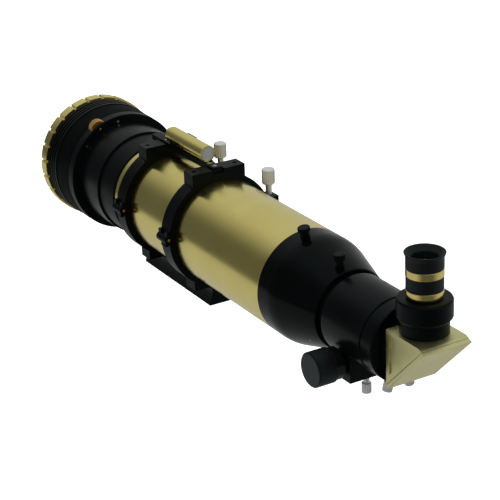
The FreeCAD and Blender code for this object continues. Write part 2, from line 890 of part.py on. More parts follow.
radial_screw("rotator_thumbscrew", [
    ("0", "rotator_radius + 0.15"),
    ("2", "rotator_radius + 0.15"),
    ("2", "45.6"),
    ("4", "45.6"),
    ("4", "50.7"),
    ("5.25", "50.7"),
    ("5.65", "51.1"),
    ("5.65", "56.9"),
    ("5.05", "57.5"),
    ("0", "57.5"),
], ROTATOR_KNOB_ANGLE, ROTATOR_KNOB_AT)


# ---- focuser -------------------------------------------------------------------------------

PINION_Y = "-pinion_at"
PINION_Z = "-pinion_drop"
FOCUS_LOCK_Y = "-104.2"
HOUSING_MIDDLE = "-(housing_front + housing_rear) / 2"
HOUSING_LONG = "housing_rear - housing_front"

focuser_blank = new_body("focuser_blank")
revolve(focuser_blank, [
    ("focuser_bore", "-focuser_seam"),
    ("focuser_radius", "-focuser_seam"),
    ("focuser_radius", "-(focuser_front + 0.8)"),
    ("focuser_radius - 0.8", "-focuser_front"),
    ("neck_radius", "-focuser_front"),
    ("neck_radius", "-(cell_end + 0.1)"),
    ("rotator_radius", "-(cell_end + 0.1)"),
    ("rotator_radius", "-(throat_at - 0.1)"),
    ("rotator_thread", "-(throat_at - 0.1)"),
    ("rotator_thread", "-rotator_front"),
    ("focuser_bore + 2", "-rotator_front"),
    ("focuser_bore + 2", "-78"),
    ("focuser_bore", "-80"),
])


def keyway():
    """The groove that the rack runs in, all along the bore."""
    middle = "-(keyway_floor + 20) / 2"
    return box("2 * keyway_half", "100", "keyway_floor - 20", ("0", "-105", middle))


def housing_screw_spots():
    for sign in ("-", ""):
        for y in ("-(housing_front + 4.2)", "-(housing_rear - 4.2)"):
            yield {"x": sign + "housing_screw_at", "y": y, "along": "z"}


focuser_tools = [
    keyway(),
    box("100", HOUSING_LONG, "40", ("0", HOUSING_MIDDLE, PINION_Z + " - 20")),
    rod("shaft_radius + running_gap", "-50", "50", y=PINION_Y, z=PINION_Z, along="x"),
    box("2 * (gear_half + 0.6)", "10", "8", ("0", PINION_Y, PINION_Z + " + 4")),
    rod("1.6", "-40", "-20", y=FOCUS_LOCK_Y, along="z"),
]
housing_screws = []
for spot in housing_screw_spots():
    focuser_tools.append(rod("1.5", "-40", "-28.5", **spot))
    head = rod("2.75", "-(housing_bottom - 0.2)", "-(housing_bottom - 3)", **spot)
    housing_screws.append(fuse([head, rod("1.5", "-(housing_bottom - 3)", "-28.5", **spot)]))
focuser_body = cut(focuser_blank, focuser_tools)
stand(focuser_body)
keep(focuser_body, "focuser_body")

end_ring_blank = new_body("end_ring_blank")
revolve(end_ring_blank, [
    ("focuser_bore", "-focuser_rear"),
    ("focuser_radius - 0.8", "-focuser_rear"),
    ("focuser_radius", "-(focuser_rear - 0.8)"),
    ("focuser_radius", "-(focuser_seam + 0.1)"),
    ("focuser_bore", "-(focuser_seam + 0.1)"),
])
focuser_end_ring = cut(end_ring_blank, [keyway()])
stand(focuser_end_ring)
keep(focuser_end_ring, "focuser_end_ring")

turned("rotator_retainer", tube_outline(
    "rotator_thread", "rotator_ring_radius", "-(throat_at - 0.1)", "-(rotator_front + 0.5)"))

wrap = common([
    rod("focuser_radius", "-(housing_rear + 1)", "-(housing_front - 1)"),
    box("100", "60", "40", ("0", HOUSING_MIDDLE, PINION_Z + " + 20")),
])
housing_tall = "housing_bottom - housing_top"
housing_mid_z = "-(housing_bottom + housing_top) / 2"
pinion_housing_tools = [
    wrap,
    rod("shaft_radius + running_gap", "-50", "50", y=PINION_Y, z=PINION_Z, along="x"),
    box("100", "2 * (shaft_radius + running_gap)", "20", ("0", PINION_Y, PINION_Z + " + 10")),
    box("2 * (gear_half + 0.6)", "10", "5.4", ("0", PINION_Y, PINION_Z + " - 2.7")),
    rod("1.6", "-60", "-20", y=FOCUS_LOCK_Y, along="z"),
]
for spot in housing_screw_spots():
    pinion_housing_tools.append(rod("1.5", "-60", "-20", **spot))
    pinion_housing_tools.append(rod("2.75", "-60", "-(housing_bottom - 3)", **spot))
housing_block = box("2 * housing_half", HOUSING_LONG, housing_tall,
                    ("0", HOUSING_MIDDLE, housing_mid_z))
pinion_housing = cut(housing_block, pinion_housing_tools)
stand(pinion_housing)
keep(pinion_housing, "pinion_housing")

housing_screw_group = group(housing_screws)
stand(housing_screw_group)
keep(housing_screw_group, "housing_screws")

turned("focus_lock_screw", [
    ("0", "-78"),
    ("4.3", "-78"),
    ("4.9", "-77.4"),
    ("4.9", "-67.6"),
    ("4.3", "-67"),
    ("3", "-67"),
    ("3", "-(housing_bottom + 0.2)"),
    ("1.5", "-(housing_bottom + 0.2)"),
    ("1.5", "-29"),
    ("0", "-29"),
], y=FOCUS_LOCK_Y, turn=ALONG_Z)


# ---- rack and pinion -----------------------------------------------------------------------

MODULE = 0.8
PITCH = math.pi * MODULE
TOOTH = 1.05
SLOPE = math.tan(math.radians(20))
TEETH = 10


def flat_profile(label, outline, length):
    """An outline in the YZ plane, padded equally to both sides of it along X."""
    body = new_body(label)
    sketch = new_sketch(body, "YZ_Plane")
    draw_outline(sketch, outline)
    pad(body, sketch, length, midplane=True)
    return body


gear_points = []
for tooth in range(TEETH):
    middle = 360 / TEETH * tooth
    for radius, half in (("pinion_pitch_radius - dedendum", -14.6),
                         ("pinion_pitch_radius + addendum", -3.4),
                         ("pinion_pitch_radius + addendum", 3.4),
                         ("pinion_pitch_radius - dedendum", 14.6)):
        angle = math.radians(middle + half)
        gear_points.append(("(%s) * %.9f" % (radius, math.sin(angle)),
                            "(%s) * %.9f" % (radius, math.cos(angle))))
gear = flat_profile("pinion_gear", gear_points, "2 * gear_half")
pinion_shaft = fuse([gear, rod("shaft_radius", "-shaft_end", "shaft_end", along="x")])
stand(pinion_shaft, y=PINION_Y, z=PINION_Z)
keep(pinion_shaft, "pinion_shaft")

knobs = []
for side in (1, -1):
    knob = new_body("knob_%d" % (side + 1))
    revolve(knob, [
        ("0", "knob_outer"),
        ("knob_radius - 1.2", "knob_outer"),
        ("knob_radius", "knob_outer - 1.2"),
        ("knob_radius", "grip_inner + 0.6"),
        ("knob_radius - 0.6", "grip_inner"),
        ("knob_hub_radius", "grip_inner"),
        ("knob_hub_radius", "hub_inner + 1"),
        ("knob_hub_radius - 1", "hub_inner"),
        ("knob_boss_radius", "hub_inner"),
        ("knob_boss_radius", "boss_inner"),
        ("shaft_radius", "boss_inner"),
        ("shaft_radius", "shaft_end"),
        ("0", "shaft_end"),
    ])
    knob.Placement = FreeCAD.Placement(
        FreeCAD.Vector(), FreeCAD.Rotation(FreeCAD.Vector(0, 0, 1), -90 * side))
    knobs.append(knob)
focus_knobs = group(knobs)
stand(focus_knobs, y=PINION_Y, z=PINION_Z)
keep(focus_knobs, "focus_knobs")

rack_points = [("-rack_front", "-rack_back"), ("-rack_rear", "-rack_back")]
root = "-(pinion_drop - pinion_pitch_radius - dedendum)"
tip = "-(pinion_drop - pinion_pitch_radius + addendum)"
rack_points.append(("-rack_rear", root))
for index in range(-3, 18):
    middle = "%.6f - pinion_at" % ((index + 0.5) * PITCH)
    at_root = "(%s) %s (%.6f + dedendum * %.6f)"
    at_tip = "(%s) %s (%.6f - addendum * %.6f)"
    rack_points.append((at_root % (middle, "-", TOOTH / 2, SLOPE), root))
    rack_points.append((at_tip % (middle, "-", TOOTH / 2, SLOPE), tip))
    rack_points.append((at_tip % (middle, "+", TOOTH / 2, SLOPE), tip))
    rack_points.append((at_root % (middle, "+", TOOTH / 2, SLOPE), root))
rack_points.append(("-rack_front", root))
rack = flat_profile("drawtube_rack", rack_points, "2 * rack_half")
stand(rack)
keep(rack, "drawtube_rack")


# ---- drawtube and its collar ---------------------------------------------------------------

LOCK_ANGLES = {"left": -104.5, "right": -75.5}

drawtube_blank = new_body("drawtube_blank")
revolve(drawtube_blank, tube_outline(
    "drawtube_bore", "drawtube_radius", "-drawtube_rear", "-drawtube_front"))
collar_blank = new_body("collar_blank")
revolve(collar_blank, [
    ("drawtube_bore", "-draw_collar_rear"),
    ("draw_collar_radius - 1", "-draw_collar_rear"),
    ("draw_collar_radius", "-(draw_collar_rear - 1)"),
    ("draw_collar_radius", "-(draw_collar_front + 0.6)"),
    ("draw_collar_radius - 0.6", "-draw_collar_front"),
    ("drawtube_radius", "-draw_collar_front"),
    ("drawtube_radius", "-drawtube_rear"),
    ("drawtube_bore", "-drawtube_rear"),
])


def lock_holes():
    return [spoke("1.6", "20", "50", angle, "-lock_at") for angle in LOCK_ANGLES.values()]


rack_slot = box("2 * rack_half", "rack_rear - rack_front", "4",
                ("0", "-(rack_rear + rack_front) / 2", "-rack_back - 2"))
drawtube = cut(drawtube_blank, [rack_slot] + lock_holes())
stand(drawtube)
keep(drawtube, "drawtube")

drawtube_collar = cut(collar_blank, lock_holes())
stand(drawtube_collar)
keep(drawtube_collar, "drawtube_collar")

for side, angle in LOCK_ANGLES.items():
    radial_screw("collar_lock_screw_" + side, [
        ("0", "nose_radius + 0.2"),
        ("1.5", "nose_radius + 0.2"),
        ("1.5", "39.2"),
        ("3", "39.2"),
        ("3", "42"),
        ("4.3", "42"),
        ("4.9", "42.6"),
        ("4.9", "51.4"),
        ("4.3", "52"),
        ("0", "52"),
    ], angle, "-lock_at")


# ---- star diagonal -------------------------------------------------------------------------

def slant_box(thick_from, thick_to, wide, long, shift="0"):
    """A box lying on the mirror plane, its faces at two depths behind that plane."""
    block = doc.addObject("Part::Box", "slant")
    bind(block, "Length", wide)
    bind(block, "Width", long)
    bind(block, "Height", "(%s) - (%s)" % (thick_to, thick_from))
    turn = FreeCAD.Rotation(FreeCAD.Vector(1, 0, 0), 135)
    block.Placement = FreeCAD.Placement(FreeCAD.Vector(), turn)
    root_half = "%.9f" % math.sqrt(0.5)
    bind(block, "Placement.Base.x", "-(%s) / 2" % wide)
    along = "((%s) / 2 + (%s))" % (long, shift)
    deep = "(%s)" % thick_from
    bind(block, "Placement.Base.y", "-eyepiece_at + (%s - %s) * %s" % (along, deep, root_half))
    bind(block, "Placement.Base.z", "-(%s + %s) * %s" % (along, deep, root_half))
    return block


diagonal_blank = flat_profile("diagonal_blank", [
    ("-diagonal_front", "diagonal_top"),
    ("-diagonal_top_rear", "diagonal_top"),
    ("-inner_facet_y", "inner_facet_z"),
    ("-diagonal_front", "diagonal_front - cover_plane"),
], "2 * diagonal_half")

light_room = flat_profile("light_room", [
    ("-(diagonal_front - 4)", "diagonal_front - 4 - eyepiece_at"),
    ("-(diagonal_front - 4)", "diagonal_top + 4"),
    ("-(eyepiece_at + diagonal_top + 4)", "diagonal_top + 4"),
], "60")
light_path = common([
    light_room,
    fuse([
        rod("light_bore", "-eyepiece_at - 40", "-(diagonal_front - 2)"),
        rod("light_bore", "-40", "diagonal_top + 2", y="-eyepiece_at", along="z"),
    ]),
])
diagonal_tools = [
    light_path,
    rod("nose_thread", "-nose_thread_rear", "-(diagonal_front - 1)"),
    rod("holder_thread", "holder_bottom", "diagonal_top + 1", y="-eyepiece_at", along="z"),
    slant_box("0", "12", "mirror_width", "mirror_length"),
]
for sign in ("-", ""):
    recess = new_body("recess")
    recess_sketch = new_sketch(recess, "YZ_Plane", sign + "(diagonal_half - recess_depth)")
    draw_outline(recess_sketch, [
        ("-(diagonal_front + 5)", "diagonal_top - 4"),
        ("-(diagonal_top_rear - 4)", "diagonal_top - 4"),
        ("-(diagonal_front + 5)", "diagonal_front + 5 - cover_plane + 7"),
    ])
    pad(recess, recess_sketch, "5", reverse=(sign == "-"))
    diagonal_tools.append(recess)

COVER_SCREW_DEPTH = "(outer_plane - eyepiece_at) * %.9f" % math.sqrt(0.5)


def cover_screw(x, along, radius, depth_from, depth_to):
    """A cylinder square to the cover, at a place across and along the mirror plane."""
    bar = doc.addObject("Part::Cylinder", "cover_rod")
    bind(bar, "Radius", radius)
    bind(bar, "Height", "(%s) - (%s)" % (depth_to, depth_from))
    turn = FreeCAD.Rotation(FreeCAD.Vector(1, 0, 0), 135)
    bar.Placement = FreeCAD.Placement(FreeCAD.Vector(), turn)
    root_half = "%.9f" % math.sqrt(0.5)
    bind(bar, "Placement.Base.x", x)
    bind(bar, "Placement.Base.y",
         "-eyepiece_at + ((%s) - (%s)) * %s" % (along, depth_from, root_half))
    bind(bar, "Placement.Base.z", "-((%s) + (%s)) * %s" % (along, depth_from, root_half))
    return bar


cover_blank = flat_profile("cover_blank", [
    ("-inner_facet_y", "inner_facet_z"),
    ("-facet_y", "facet_z"),
    ("diagonal_bottom - outer_plane", "-diagonal_bottom"),
    ("-diagonal_front", "-diagonal_bottom"),
    ("-diagonal_front", "diagonal_front - cover_plane"),
], "2 * diagonal_half")
cover_tools = []
cover_screws = []
for sign in ("-", ""):
    for along in ("-27.5", "27.5"):
        x = sign + "21.5"
        shank = (x, along, "1.2", "4", COVER_SCREW_DEPTH)
        head = (x, along, "2.2", COVER_SCREW_DEPTH + " - 1.4", COVER_SCREW_DEPTH + " - 0.1")
        cover_tools.append(cover_screw(*shank))
        cover_tools.append(cover_screw(x, along, "2.2", COVER_SCREW_DEPTH + " - 1.4", "13"))
        diagonal_tools.append(cover_screw(x, along, "1.2", "4", "8"))
        thread = cover_screw(x, along, "1.2", "4", COVER_SCREW_DEPTH + " - 1.4")
        cover_screws.append(fuse([thread, cover_screw(*head)]))
diagonal_body = cut(diagonal_blank, diagonal_tools)
stand(diagonal_body)
keep(diagonal_body, "diagonal_body")

diagonal_cover = cut(cover_blank, cover_tools)
stand(diagonal_cover)
keep(diagonal_cover, "diagonal_cover")

cover_screw_group = group(cover_screws)
stand(cover_screw_group)
keep(cover_screw_group, "diagonal_cover_screws")

mirror = slant_box("0", "mirror_thickness", "mirror_width", "mirror_length")
mirror_whole = common([mirror, diagonal_blank])
stand(mirror_whole)
keep(mirror_whole, "diagonal_mirror")

turned("diagonal_nose", [
    ("light_bore", "-nose_thread_rear"),
    ("nose_thread", "-nose_thread_rear"),
    ("nose_thread", "-(diagonal_front - 0.1)"),
    ("flange_radius - 0.6", "-(diagonal_front - 0.1)"),
    ("flange_radius", "-(diagonal_front - 0.7)"),
    ("flange_radius", "-flange_front"),
    ("nose_radius", "-flange_front"),
    ("nose_radius", "-nose_front"),
    ("light_bore + 6", "-nose_front"),
    ("light_bore + 6", "-154"),
    ("light_bore", "-154"),
])

turned("blocking_filter", disc_outline("light_bore + 6", "-154", "-151"))


# ---- eyepiece holder, clamp ring and eyepiece ----------------------------------------------

turned("eyepiece_holder", [
    ("holder_bore", "holder_bottom"),
    ("holder_thread", "holder_bottom"),
    ("holder_thread", "diagonal_top"),
    ("holder_radius", "diagonal_top"),
    ("holder_radius", "holder_shoulder"),
    ("clamp_thread", "holder_shoulder"),
    ("clamp_thread", "holder_top"),
    ("holder_bore", "holder_top"),
], y="-eyepiece_at", turn=ALONG_Z)

turned("clamp_ring", [
    ("clamp_thread + running_gap", "clamp_bottom"),
    ("holder_radius + 0.1", "clamp_bottom"),
    ("clamp_radius", "clamp_bottom + 4.1"),
    ("clamp_radius", "clamp_top - 1.6"),
    ("clamp_radius - 1.4", "clamp_top"),
    ("barrel_radius + 0.5", "clamp_top"),
    ("barrel_radius + 0.5", "clamp_lip"),
    ("clamp_thread + running_gap", "clamp_lip"),
], y="-eyepiece_at", turn=ALONG_Z)

turned("eyepiece_barrel", [
    ("eyepiece_bore", "barrel_bottom"),
    ("barrel_radius", "barrel_bottom"),
    ("barrel_radius", "eyepiece_shoulder"),
    ("gold_radius - 0.9", "eyepiece_shoulder"),
    ("gold_radius", "eyepiece_shoulder + 1.5"),
    ("gold_radius", "grip_bottom"),
    ("eyepiece_core", "grip_bottom"),
    ("eyepiece_core", "core_top"),
    ("eyepiece_bore", "core_top"),
], y="-eyepiece_at", turn=ALONG_Z)

turned("eyepiece_grip", tube_outline("eyepiece_core", "grip_radius", "grip_bottom", "grip_top"),
       y="-eyepiece_at", turn=ALONG_Z)

turned("eyepiece_upper_ring",
       tube_outline("eyepiece_core", "gold_radius", "grip_top", "gold_top"),
       y="-eyepiece_at", turn=ALONG_Z)

turned("eyecup", [
    ("eyepiece_core", "gold_top"),
    ("gold_radius", "gold_top"),
    ("gold_radius", "cup_bend"),
    ("cup_radius", "cup_rim - 0.4"),
    ("cup_radius - 0.4", "cup_rim"),
    ("cup_radius - 1.1", "cup_rim"),
    ("eyepiece_core - 2.5", "core_top + 1.5"),
    ("eyepiece_core - 2.5", "core_top"),
    ("eyepiece_core", "core_top"),
], y="-eyepiece_at", turn=ALONG_Z)

eye_lens = common([
    rod("eyepiece_bore", "core_top - 8", "core_top - 1", along="z"),
    ball("30", "0", "core_top - 1 - 30"),
])
stand(eye_lens, y="-eyepiece_at")
keep(eye_lens, "eye_lens")


# ---- solar finder --------------------------------------------------------------------------

CRADLES = ("198", "264")
ADJUSTER_AT = "188.5"

bar_parts = [box("2 * bar_half", "bar_front - bar_rear", "bar_top - saddle_floor",
                 ("0", "(bar_front + bar_rear) / 2", "(bar_top + saddle_floor) / 2"))]
for y in CRADLES:
    bar_parts.append(box("2 * bar_half", "8", "5", ("0", y, "bar_top + 2")))
bar_tools = [rod("finder_radius", "finder_rear - 1", "finder_front + 1", z="finder_axis")]
finder_screws = []
for y in (ring_place("rear"), ring_place("front"), ADJUSTER_AT):
    spot = {"y": y, "along": "z"}
    bar_tools.append(rod("finder_screw_radius", "saddle_floor", "bar_top", **spot))
    bar_tools.append(rod("2.8", "bar_top - 2.6", "bar_top", **spot))
    head = rod("2.8", "bar_top - 2.6", "bar_top - 0.2", **spot)
    reach = "saddle_floor - 4.5"
    if y == ADJUSTER_AT:
        reach = "saddle_floor"
    shank = rod("finder_screw_radius", reach, "bar_top - 2.6", **spot)
    finder_screws.append(fuse([head, shank]))
finder_bar = cut(fuse(bar_parts), bar_tools)
stand(finder_bar)
keep(finder_bar, "finder_bar")

finder_screw_group = group(finder_screws)
stand(finder_screw_group)
keep(finder_screw_group, "finder_screws")

turned("finder_tube", [
    ("finder_bore", "finder_rear"),
    ("finder_radius", "finder_rear"),
    ("finder_radius", "finder_front - 5"),
    ("finder_radius - 1.5", "finder_front - 1.5"),
    ("finder_radius - 5", "finder_front"),
    ("1", "finder_front"),
    ("1", "finder_front - 3"),
    ("finder_bore", "finder_front - 6"),
], z="finder_axis")

turned("finder_screen", disc_outline("finder_bore", "finder_rear + 1", "finder_rear + 3"),
       z="finder_axis")


# ---- check every sub-part and write it -----------------------------------------------------

doc.recompute()
os.makedirs("parts", exist_ok=True)
for item in doc.Objects:
    if "Invalid" in item.State or "Error" in item.State:
        raise RuntimeError("%s (%s): %s" % (item.Name, item.Label, item.State))
for piece in nodes:
    shape = piece.Shape
    if shape.isNull() or not shape.isValid() or not shape.Solids:
        raise RuntimeError("%s has no good solid" % piece.Label)
    shape.exportStep("parts/%s.step" % piece.Label)
    box_of = shape.BoundBox
    print("%-26s solids %d volume %.0f  x %.1f %.1f  y %.1f %.1f  z %.1f %.1f" % (
        piece.Label, len(shape.Solids), shape.Volume, box_of.XMin, box_of.XMax,
        box_of.YMin, box_of.YMax, box_of.ZMin, box_of.ZMax))
print("%d sub-parts written" % len(nodes))
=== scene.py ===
import json
import math

import bmesh
import bpy
from mathutils import Matrix, Vector

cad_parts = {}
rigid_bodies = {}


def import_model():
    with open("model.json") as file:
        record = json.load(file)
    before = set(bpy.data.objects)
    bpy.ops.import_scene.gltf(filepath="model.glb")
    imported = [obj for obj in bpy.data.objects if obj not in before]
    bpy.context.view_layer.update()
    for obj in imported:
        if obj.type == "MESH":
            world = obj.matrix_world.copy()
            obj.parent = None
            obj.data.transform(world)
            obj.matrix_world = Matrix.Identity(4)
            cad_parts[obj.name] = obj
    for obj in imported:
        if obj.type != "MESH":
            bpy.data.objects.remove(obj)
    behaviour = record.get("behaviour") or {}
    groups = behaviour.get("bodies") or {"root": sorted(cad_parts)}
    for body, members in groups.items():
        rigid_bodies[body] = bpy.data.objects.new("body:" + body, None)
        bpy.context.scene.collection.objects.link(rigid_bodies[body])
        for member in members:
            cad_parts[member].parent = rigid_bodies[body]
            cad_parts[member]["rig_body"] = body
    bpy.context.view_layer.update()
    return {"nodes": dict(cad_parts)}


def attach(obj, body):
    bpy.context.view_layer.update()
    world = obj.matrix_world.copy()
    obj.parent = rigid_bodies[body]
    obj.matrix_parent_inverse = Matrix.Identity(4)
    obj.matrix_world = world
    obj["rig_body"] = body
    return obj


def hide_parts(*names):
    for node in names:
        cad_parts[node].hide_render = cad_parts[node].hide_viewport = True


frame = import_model()
nodes = frame["nodes"]

# Profiles and places of the turned pieces are in millimetres in the tube's frame: +Y along the
# optical axis, z = 0 on it. The floor, lamps and camera are in metres in the row frame.
PLATE_MIDDLE = 239.0
AXIS_HEIGHT = 82.0
MM = 0.001


def at(x, y, z):
    """A point of the tube's frame in the row frame, in metres."""
    return Vector((x * MM, (y - PLATE_MIDDLE) * MM, (z + AXIS_HEIGHT) * MM))


# ---- materials -----------------------------------------------------------------------------

class Nodes:
    """A material's node tree, with short calls for the nodes used here."""

    def __init__(self, name, **settings):
        self.material = bpy.data.materials.new(name)
        self.material.use_nodes = True
        self.tree = self.material.node_tree
        self.tree.nodes.clear()
        self.out = self.add("ShaderNodeOutputMaterial")
        self.shader = self.add("ShaderNodeBsdfPrincipled")
        self.link(self.shader.outputs["BSDF"], self.out.inputs["Surface"])
        for socket, value in settings.items():
            self.shader.inputs[socket.replace("_", " ")].default_value = value
        self.where = self.add("ShaderNodeTexCoord").outputs["Object"]

    def add(self, kind, **settings):
        node = self.tree.nodes.new(kind)
        for name, value in settings.items():
            setattr(node, name, value)
        return node

    def link(self, source, target):
        self.tree.links.new(source, target)

    def stretched(self, scale):
        mapping = self.add("ShaderNodeMapping")
        mapping.inputs["Scale"].default_value = scale
        self.link(self.where, mapping.inputs["Vector"])
        return mapping.outputs["Vector"]

    def noise(self, scale, detail=3.0, rough=0.6, vector=None):
        node = self.add("ShaderNodeTexNoise")
        node.inputs["Scale"].default_value = scale
        node.inputs["Detail"].default_value = detail
        node.inputs["Roughness"].default_value = rough
        self.link(vector or self.where, node.inputs["Vector"])
        return node.outputs["Fac"]

    def spread(self, value, low, high, start=0.3, end=0.7):
        """The value, from start to end, carried to the range low to high."""
        node = self.add("ShaderNodeMapRange")
        node.inputs["From Min"].default_value = start
        node.inputs["From Max"].default_value = end
        node.inputs["To Min"].default_value = low
        node.inputs["To Max"].default_value = high
        self.link(value, node.inputs["Value"])
        return node.outputs["Result"]

    def ramp(self, value, *stops):
        node = self.add("ShaderNodeValToRGB")
        ramp = node.color_ramp
        while len(ramp.elements) < len(stops):
            ramp.elements.new(0.5)
        for element, (place, colour) in zip(ramp.elements, stops):
            element.position = place
            element.color = (*colour, 1)
        self.link(value, node.inputs["Fac"])
        return node.outputs["Color"]

    def bump(self, height, strength, distance):
        node = self.add("ShaderNodeBump")
        node.inputs["Strength"].default_value = strength
        node.inputs["Distance"].default_value = distance
        self.link(height, node.inputs["Height"])
        return node.outputs["Normal"]

    def set(self, socket, output):
        self.link(output, self.shader.inputs[socket])


COOL = (0.78, 0.98, 1.0, 1)
METAL_CLOUDS, METAL_SMUDGES, METAL_RELIEF = 14, 38, 0.0001
COAT_CLOUDS, COAT_SMUDGES, COAT_RELIEF = 22, 60, 0.00008


def metal(name, dark, light, rough, grain=(900, 900, 900), grain_strength=0.05, spread=0.05,
          metallic=1.0):
    """A satin or polished metal: slow colour change, fine grain and faint smudges."""
    m = Nodes(name, Metallic=metallic)
    cloudy = m.noise(METAL_CLOUDS, 4)
    m.set("Base Color", m.ramp(cloudy, (0.3, dark), (0.7, light)))
    smudge = m.noise(METAL_SMUDGES, 5, 0.7)
    m.set("Roughness", m.spread(smudge, rough - spread, rough + spread))
    fine = m.noise(1.0, 2, 0.5, m.stretched(grain))
    m.set("Normal", m.bump(fine, grain_strength, METAL_RELIEF))
    return m.material


def coated(name, dark, light, rough, spread=0.06, grain=2600, grain_strength=0.05, **more):
    """Anodised, painted or moulded: slow tone change, fine texture and smudges."""
    m = Nodes(name, Specular_Tint=COOL, **more)
    cloudy = m.noise(COAT_CLOUDS, 4)
    m.set("Base Color", m.ramp(cloudy, (0.3, dark), (0.7, light)))
    smudge = m.noise(COAT_SMUDGES, 5, 0.7)
    m.set("Roughness", m.spread(smudge, rough - spread, rough + spread))
    fine = m.noise(grain, 2, 0.5)
    m.set("Normal", m.bump(fine, grain_strength, COAT_RELIEF))
    return m.material


GOLD = metal("gold_anodised", (0.88, 0.74, 0.23), (0.95, 0.82, 0.29), 0.22,
             (60, 2600, 60), 0.02)
PALE_GOLD = metal("gold_blasted", (0.78, 0.74, 0.36), (0.86, 0.81, 0.42), 0.40,
                  (2600, 2600, 2600), 0.16)
BRIGHT_GOLD = metal("gold_polished", (0.86, 0.68, 0.20), (0.94, 0.77, 0.28), 0.13,
                    (300, 300, 4000), 0.03, 0.04)
ORANGE = metal("wheel_brass", (0.78, 0.42, 0.09), (0.88, 0.54, 0.16), 0.30)
BRASS = metal("brass", (0.80, 0.60, 0.24), (0.88, 0.70, 0.34), 0.30)
STEEL = metal("steel", (0.62, 0.62, 0.63), (0.74, 0.74, 0.74), 0.26)
SILVER = metal("satin_steel", (0.88, 0.88, 0.86), (0.95, 0.95, 0.93), 0.38,
               (500, 500, 4200), 0.06, metallic=0.6)
CHROME = metal("bright_tube", (0.80, 0.81, 0.83), (0.88, 0.89, 0.90), 0.12)
MIRROR = metal("mirror_coating", (0.88, 0.88, 0.90), (0.92, 0.92, 0.93), 0.05)
BLACK = coated("black_anodised", (0.0012, 0.0018, 0.0021), (0.0028, 0.0036, 0.0040), 0.36,
               grain_strength=0.03, Specular_IOR_Level=0.10)
SATIN_BLACK = coated("black_satin", (0.0012, 0.0016, 0.0018), (0.0028, 0.0034, 0.0037), 0.26,
                     grain_strength=0.02, Specular_IOR_Level=0.12)
GLOSS = coated("gloss_black", (0.0012, 0.0014, 0.0015), (0.0024, 0.0026, 0.0028), 0.11, 0.03,
               grain=420, grain_strength=0.010, Specular_IOR_Level=0.10)
DEEP_BLACK = coated("deep_black", (0.0010, 0.0014, 0.0015), (0.0022, 0.0028, 0.0030), 0.62,
                    grain_strength=0.08, Specular_IOR_Level=0.05)
KNOB = coated("knob_black", (0.0018, 0.0021, 0.0022), (0.0040, 0.0044, 0.0045), 0.32,
              grain_strength=0.10, Specular_IOR_Level=0.30)
RUBBER = coated("rubber", (0.0030, 0.0031, 0.0032), (0.0065, 0.0065, 0.0065), 0.50,
                grain=1800, grain_strength=0.25, Specular_IOR_Level=0.30)
FELT = coated("felt", (0.006, 0.006, 0.007), (0.016, 0.016, 0.016), 0.9,
              grain=3200, grain_strength=0.6)
SCREEN = coated("frosted_screen", (0.42, 0.43, 0.40), (0.52, 0.53, 0.49), 0.5,
                grain=1500, grain_strength=0.2)
GLASS = coated("coated_glass", (0.75, 0.80, 0.84), (0.80, 0.85, 0.88), 0.03, 0.01,
               grain=100, grain_strength=0.002, Transmission_Weight=1.0, IOR=1.52)
FILTER = coated("filter_glass", (0.16, 0.03, 0.02), (0.20, 0.05, 0.03), 0.04, 0.01,
                grain=100, grain_strength=0.002, Metallic=0.7, Coat_Weight=1.0)

WHOLE = {
    "mounting_plate": SATIN_BLACK, "plate_bolts": STEEL, "ring_lower_rear": BLACK,
    "ring_lower_front": BLACK, "ring_upper_rear": BLACK, "ring_upper_front": BLACK,
    "ring_hinge_pins": BRASS, "ring_liners_lower": FELT, "ring_liners_upper": FELT,
    "ring_screw_rear": SILVER, "ring_screw_front": SILVER, "main_tube": GOLD,
    "front_collar": BLACK, "objective_cell": SATIN_BLACK, "lens_flint": GLASS,
    "lens_spacer": BLACK, "lens_crown": GLASS, "lens_retainer": BLACK,
    "tuner_ring": BLACK, "tuner_set_screws": STEEL, "tuning_wheel": ORANGE,
    "etalon_housing": DEEP_BLACK, "etalon_glass": FILTER, "grooved_ring": BLACK,
    "front_filter_glass": FILTER, "front_ring": GOLD, "rear_cell": GLOSS,
    "cell_set_screws": STEEL, "cell_thumbscrew": BLACK, "rotator_thumbscrew": BLACK,
    "focuser_body": SATIN_BLACK, "focuser_end_ring": SATIN_BLACK,
    "rotator_retainer": BLACK, "pinion_housing": SATIN_BLACK, "housing_screws": STEEL,
    "focus_lock_screw": SILVER, "pinion_shaft": STEEL, "focus_knobs": KNOB,
    "drawtube": CHROME, "drawtube_rack": BRASS, "drawtube_collar": SATIN_BLACK,
    "collar_lock_screw_left": SILVER, "collar_lock_screw_right": SILVER,
    "diagonal_body": PALE_GOLD, "diagonal_cover": PALE_GOLD,
    "diagonal_cover_screws": STEEL, "diagonal_mirror": MIRROR, "diagonal_nose": BLACK,
    "blocking_filter": FILTER, "eyepiece_holder": BLACK, "clamp_ring": BLACK,
    "eyepiece_barrel": BRIGHT_GOLD, "eyepiece_grip": KNOB,
    "eyepiece_upper_ring": BRIGHT_GOLD, "eyecup": RUBBER, "eye_lens": GLASS,
    "finder_bar": BLACK, "finder_screws": STEEL, "finder_tube": GOLD,
    "finder_screen": SCREEN,
}


def paint(obj, *materials):
    obj.data.materials.clear()
    for material in materials:
        obj.data.materials.append(material)


for name, material in WHOLE.items():
    paint(nodes[name], material)


# ---- pieces that stand for CAD nodes -------------------------------------------------------

